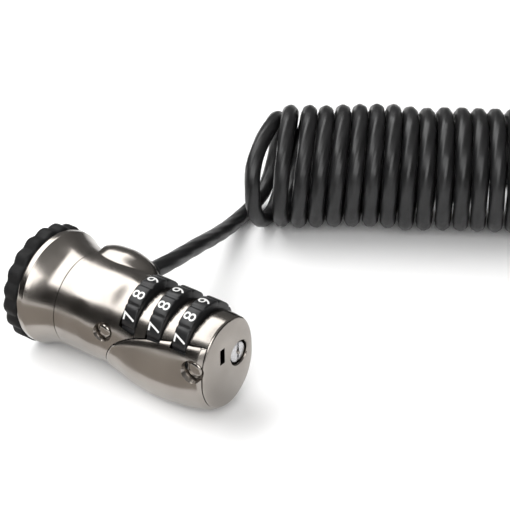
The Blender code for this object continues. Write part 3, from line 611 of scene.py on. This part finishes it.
def turned_across(name, station, height, rows, segments=64):
    """A body of revolution about a line across the barrel, from (y, radius) rows."""
    return add_mesh(name, *skin(rings_across(station, height, rows, segments)))


def pocket_tools():
    tools = []
    for name, station, height, recess, _ in RIVETS:
        reach = rivet_reach(station, height)
        rows = [(-reach + 1.15, recess - 0.35), (-reach + 0.95, recess - 0.1), (-reach + 0.3, recess),
                (-reach - 0.1, recess + 0.12), (-reach - 4.0, recess + 1.6)]
        tools.append(turned_across(name + "_pocket", station, height, rows))
    return tools


def rivet(name, station, height, _, head):
    """Domed rivet head that stands in its pocket."""
    reach = rivet_reach(station, height)
    rows = []
    for i in range(9):
        angle = math.pi / 2 * i / 8
        rows.append((-reach + 0.75 - 0.72 * math.cos(angle), max(head * math.sin(angle) ** 0.8, 0.02)))
    rows += [(-reach + 0.95, head), (-reach + 1.3, head - 0.2), (-reach + 1.3, 0.75), (-reach + 2.4, 0.75)]
    obj = turned_across(name + "_head", station, height, rows)
    return finish_piece(obj, NICKEL, "head", (name,))


def openings():
    """The cuts that both shells share: dial windows and rivet pockets."""
    return [("DIFFERENCE", tool) for tool in window_tools() + pocket_tools()]


RESET_CENTRE = (3.9, 0.0)


def build_shells():
    stations = rows_between(14.4, 56.4, 0.5) + rows_between(56.7, END_STATION, 0.13)
    upper = loft("shell_upper", stations, outer_radius)
    cavity_rows = rows_between(16.4, 55.6, 1.4)
    cavity = loft("cavity", cavity_rows, lambda a, t: section_radii(a, t) - WALL, 120)
    outside = place(EXIT_STATION, 18.0, EXIT_HEIGHT)
    bore = rod("bore", place(EXIT_STATION, -1.0, EXIT_HEIGHT), outside, 3.4)
    reset_bore = turned("reset_bore", [(53.0, 0.4), (53.0, 3.1), (57.8, 3.1), (59.0, 4.2), (59.0, 0.4)],
                        RESET_CENTRE, 64)
    notch = block("notch", (54.5, 59.0), (-3.3, -1.6), (0.4, 4.5))
    spot = rod("spot", place(EXIT_STATION, SOCKET_END, EXIT_HEIGHT), outside, 4.1)
    steps = [("DIFFERENCE", cavity), ("DIFFERENCE", region_tool("upper_region", 0.12)), ("DIFFERENCE", bore),
             ("DIFFERENCE", spot), ("DIFFERENCE", reset_bore), ("DIFFERENCE", notch)]
    steps += openings()
    carve(upper, steps)
    finish_piece(upper, NICKEL, "head", ("upper_shell",))
    lower = loft("shell_lower", rows_between(27.0, SHELL_END, 0.3), lip_radius, 360)
    cavity = loft("cavity", rows_between(25.0, 58.0, 1.4), lambda a, t: section_radii(a, t) - WALL, 120)
    steps = [("INTERSECT", region_tool("lower_region", -0.06)), ("DIFFERENCE", cavity)]
    steps += openings()
    carve(lower, steps)
    finish_piece(lower, NICKEL, "head", ("lower_shell",))


def build_collar():
    """Bell-shaped collar: rim, concave taper and a thin lip at the seam."""
    taper = smooth_line([(4.6, 14.7, 0), (5.9, 14.7, 0), (6.35, 14.5, 0), (7.4, 13.98, 0), (9.0, 13.33, 0),
                         (11.0, 12.72, 0), (13.0, 12.4, 0), (14.0, 12.3, 0)], 6)
    profile = [(1.9, 13.6), (4.2, 13.6), (4.2, 14.4), (4.3, 14.58)] + [(p.x, p.y) for p in taper]
    profile += [(14.15, 12.27), (SEAM_STATION, 12.15), (SEAM_STATION, 10.6), (7.6, 11.0), (7.6, 8.2),
                (13.8, 8.2), (13.8, 5.3), (3.4, 5.3), (3.4, 10.4), (1.9, 10.4)]
    collar = turned("collar_shell", profile, segments=192)
    finish_piece(collar, NICKEL, "grip", ("collar",))


GRIP_RADIUS = 15.2
SCALLOPS = 20
SCALLOP_DEPTH = 0.7


def build_grip():
    """Rubber ring with rounded scallops."""
    segments = SCALLOPS * 14
    rows = [(-0.4, 11.2, 0), (-0.4, -1.5, 1), (-0.34, -1.0, 1), (-0.15, -0.45, 1), (0.3, -0.12, 1),
            (0.8, 0.0, 1), (3.1, 0.0, 1), (3.5, -0.1, 1), (3.8, -0.35, 1), (3.96, -0.7, 1), (4.0, -1.1, 1),
            (4.0, 13.8, 0), (1.7, 13.8, 0), (1.7, 11.2, 0)]
    rings = []
    for station, size, wavy in rows:
        ring = []
        for i in range(segments):
            angle = math.tau * i / segments
            wave = 0.5 * (1 + math.cos(SCALLOPS * angle))
            tip = GRIP_RADIUS - SCALLOP_DEPTH * (1 - wave ** 0.7)
            radius = tip + size if wavy else size
            ring.append(place(station, radius * math.cos(angle), radius * math.sin(angle)))
        rings.append(ring)
    grip = add_mesh("grip_rubber_ring", *skin(rings, looped=True), 50)
    finish_piece(grip, RUBBER, "grip", ("grip_ring",))


def dial_rim():
    """Outline of a dial: ten flat fields with rounded edges and a narrow groove between them."""
    corner = math.pi / 10
    outline = []
    for step in range(10):
        middle = math.radians(DIAL_PHASE + 36 * step)
        for offset, radius in ((-corner, 8.92), (-corner + 0.03, 9.04), (-corner + 0.055, 9.19),
                               (-corner + 0.08, 9.24), (-corner + 0.12, 9.22)):
            outline.append((middle + offset, radius))
        for k in range(-4, 5):
            offset = k * 0.04
            outline.append((middle + offset, DIAL_FLAT / math.cos(offset)))
        for offset, radius in ((corner - 0.12, 9.22), (corner - 0.08, 9.24), (corner - 0.055, 9.19),
                               (corner - 0.03, 9.04)):
            outline.append((middle + offset, radius))
    return outline


DIGIT_SCALE = (3.3, 3.25, 0)  # the second is a digit's height, and the first widens it slightly
PAINT_RELIEF = 0.03           # the paint reaches this far above and below the flat field
FIRST_DIGIT = 7


def digit_mesh(text):
    """Flat points, each point's side of the paint and the faces of one digit, centred on its middle."""
    curve = bpy.data.curves.new("digit", "FONT")
    curve.body = text
    curve.align_x = "CENTER"
    curve.resolution_u = 6
    curve.extrude = 0.01
    obj = bpy.data.objects.new("digit", curve)
    bpy.context.scene.collection.objects.link(obj)
    graph = bpy.context.evaluated_depsgraph_get()
    mesh = bpy.data.meshes.new_from_object(obj.evaluated_get(graph))
    bpy.data.objects.remove(obj, do_unlink=True)
    points = np.array([tuple(v.co) for v in mesh.vertices])
    faces = [tuple(p.vertices) for p in mesh.polygons]
    low, high = points.min(axis=0), points.max(axis=0)
    points = (points - (low + high) / 2) / (high[1] - low[1])
    return points * DIGIT_SCALE, np.sign(points[:, 2]), faces


def build_dial(index):
    station = DIAL_STATIONS[index]
    body = "dial_%d_set" % (index + 1)
    rim = dial_rim()
    half = DIAL_WIDTH / 2
    # Offset from the dial's middle, then the bore's radius or the step down from the rim.
    rows = [(-half, DIAL_BORE, True), (-half, -0.55, False), (-half + 0.05, -0.25, False),
            (-half + 0.2, -0.06, False), (-half + 0.4, 0.0, False), (half - 0.4, 0.0, False),
            (half - 0.2, -0.06, False), (half - 0.05, -0.25, False), (half, -0.55, False),
            (half, DIAL_BORE, True)]
    rings = []
    for offset, size, bore in rows:
        ring = []
        for angle, radius in rim:
            r = size if bore else radius + size
            ring.append(place(station + offset, r * math.cos(angle), DIAL_RISE + r * math.sin(angle)))
        rings.append(ring)
    wheel = add_mesh("dial_%d_wheel" % (index + 1), *skin(rings, looped=True), 50)
    finish_piece(wheel, DIAL, body, ("dial_%d" % (index + 1),))
    points, faces = [], []
    for step in range(10):
        flat, sides, glyph = digit_mesh(str((FIRST_DIGIT + step) % 10))
        angle = math.radians(DIAL_PHASE - 36 * step)
        out = Vector((0, math.cos(angle), math.sin(angle)))
        right = Vector((0, math.sin(angle), -math.cos(angle)))
        centre = place(station, 0, DIAL_RISE)
        base = len(points)
        for (u, v, _), side in zip(flat, sides):
            points.append(centre + right * u + Vector((-v, 0, 0)) + out * (DIAL_FLAT + PAINT_RELIEF * side))
        faces += [tuple(base + k for k in face) for face in glyph]
    digits = add_mesh("dial_%d_digits" % (index + 1), points, faces, 30)
    finish_piece(digits, PAINT, body)


def build_reset_screw():
    """Slotted screw sunk in the end face."""
    profile = [(54.1, 0.02), (54.1, 1.5), (55.0, 1.5), (55.0, 2.65), (57.3, 2.65), (57.5, 2.55), (57.6, 2.3),
               (57.65, 0.02)]
    rings = [circle(a, r, RESET_CENTRE, 72) for a, r in profile]
    screw = add_mesh("reset_screw_head", *skin(rings), 30)
    slot = block("slot", (57.2, 59.0), (RESET_CENTRE[0] - 0.4, RESET_CENTRE[0] + 0.4), (-3.2, 3.2))
    carve(screw, [("DIFFERENCE", slot)])
    finish_piece(screw, STEEL, "reset_screw", ("reset_screw",))


def dress_frame():
    """Gives every CAD node a finish; those that a later piece replaces aren't seen."""
    looks = {"face_pad": PAD, "code_sleeve_1": BRASS, "code_sleeve_2": BRASS, "code_sleeve_3": BRASS,
             "nose_sleeve": STEEL, "lock_spindle": STEEL}
    for name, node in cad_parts.items():
        node.data.materials.clear()
        node.data.materials.append(looks.get(name, DARK_STEEL))


# ---------------------------------------------------------------- stage
def build_camera():
    data = bpy.data.cameras.new("camera")
    data.lens = 107.0
    data.sensor_width = 36.0
    data.clip_start = 0.01
    data.clip_end = 20
    camera = bpy.data.objects.new("camera", data)
    bpy.context.scene.collection.objects.link(camera)
    camera.location = (0.2059, -0.2256, 0.2222)
    target = Vector((0.00423, 0.04714, 0.0102))
    camera.rotation_euler = (target - camera.location).to_track_quat("-Z", "Y").to_euler()
    bpy.context.scene.camera = camera


def aim(obj, position, target):
    bpy.context.scene.collection.objects.link(obj)
    obj.location = position
    obj.rotation_euler = (Vector(target) - Vector(position)).to_track_quat("-Z", "Y").to_euler()


def area_light(name, position, target, size, power):
    data = bpy.data.lights.new(name, "AREA")
    data.shape = "RECTANGLE"
    data.size, data.size_y = size
    data.energy = power
    light = bpy.data.objects.new(name, data)
    aim(light, position, target)
    return light


def fill_light(name, position, target, size, power):
    """Brightens the floor and the matte parts without a reflection of its own."""
    light = area_light(name, position, target, size, power)
    light.visible_glossy = False
    return light


def flag(name, corners, shade):
    """A studio card of the given shade, seen only in reflections."""
    mesh = bpy.data.meshes.new(name)
    mesh.from_pydata(corners, [], [(0, 1, 2, 3)])
    obj = bpy.data.objects.new(name, mesh)
    bpy.context.scene.collection.objects.link(obj)
    mesh.materials.append(new_material(name, shade, 0.9))
    obj.visible_camera = False
    obj.visible_shadow = False
    obj.visible_diffuse = False
    return obj


def build_world():
    """Soft light from all around, brightest overhead and half as bright at the horizon and below."""
    world = bpy.data.worlds.new("studio")
    bpy.context.scene.world = world
    world.use_nodes = True
    tree = world.node_tree
    coords = tree.nodes.new("ShaderNodeTexCoord")
    split = tree.nodes.new("ShaderNodeSeparateXYZ")
    ramp = tree.nodes.new("ShaderNodeValToRGB")
    ramp.color_ramp.interpolation = "EASE"
    stops = ((0.0, 0.5), (0.45, 0.5), (0.55, 0.6), (0.8, 0.8), (1.0, 1.0))
    while len(ramp.color_ramp.elements) < len(stops):
        ramp.color_ramp.elements.new(0.5)
    for element, (position, value) in zip(ramp.color_ramp.elements, stops):
        element.position = position
        element.color = (value, value * 0.99, value * 0.975, 1)
    tree.links.new(coords.outputs["Generated"], split.inputs["Vector"])
    tree.links.new(split.outputs["Z"], ramp.inputs["Fac"])
    background = tree.nodes["Background"]
    tree.links.new(ramp.outputs["Color"], background.inputs["Color"])
    background.inputs["Strength"].default_value = 0.35


def build_stage():
    mesh = bpy.data.meshes.new("floor")
    size = 3.0
    corners = [(-size, -size, 0), (size, -size, 0), (size, size, 0), (-size, size, 0)]
    mesh.from_pydata(corners, [], [(0, 1, 2, 3)])
    floor = bpy.data.objects.new("floor", mesh)
    bpy.context.scene.collection.objects.link(floor)
    mesh.materials.append(new_material("floor", (0.93, 0.93, 0.93), 0.7))
    floor.location.z = -0.0002
    bpy.context.scene.view_settings.view_transform = "Standard"
    build_world()
    area_light("overhead_left", (-0.46, -0.15, 0.6), (-0.46, -0.15, 0.0), (0.58, 1.2), 9.0)
    area_light("front", (0.36, -0.46, 0.42), (0, 0, 0), (0.7, 0.5), 4.6)
    fill_light("fill", (0.05, 0.05, 0.9), (0.05, 0.05, 0.0), (1.1, 1.1), 1.2)
    flag("flag_end", ((0.16, 0.02, 0.0), (0.16, 0.16, 0.0), (0.16, 0.16, 0.10), (0.16, 0.02, 0.10)),
         (0.05, 0.045, 0.04))
    flag("flag_left", ((-0.30, -0.06, 0.0), (0.03, -0.22, 0.0), (0.03, -0.22, 0.11), (-0.30, -0.06, 0.13)),
         (0.02, 0.018, 0.016))
    # Painted shade: a grey card lying on the floor by the lock's front, seen only in reflections, stands in
    # for the lock's shadow on the floor that its belly reflects.
    flag("painted_floor_shade_card", ((-0.075, -0.09, 0.0006), (0.035, -0.09, 0.0006), (0.035, -0.021, 0.0006),
                        (-0.075, -0.021, 0.0006)), (0.36, 0.33, 0.30))


build_camera()
build_stage()
dress_frame()
cable, cable_path, cable_length = build_cable()
ferrule = build_ferrule()
end_eye = build_end_loop()
gland = build_gland()
build_shells()
build_collar()
build_grip()
for number in range(3):
    build_dial(number)
for details in RIVETS:
    rivet(*details)
build_reset_screw()
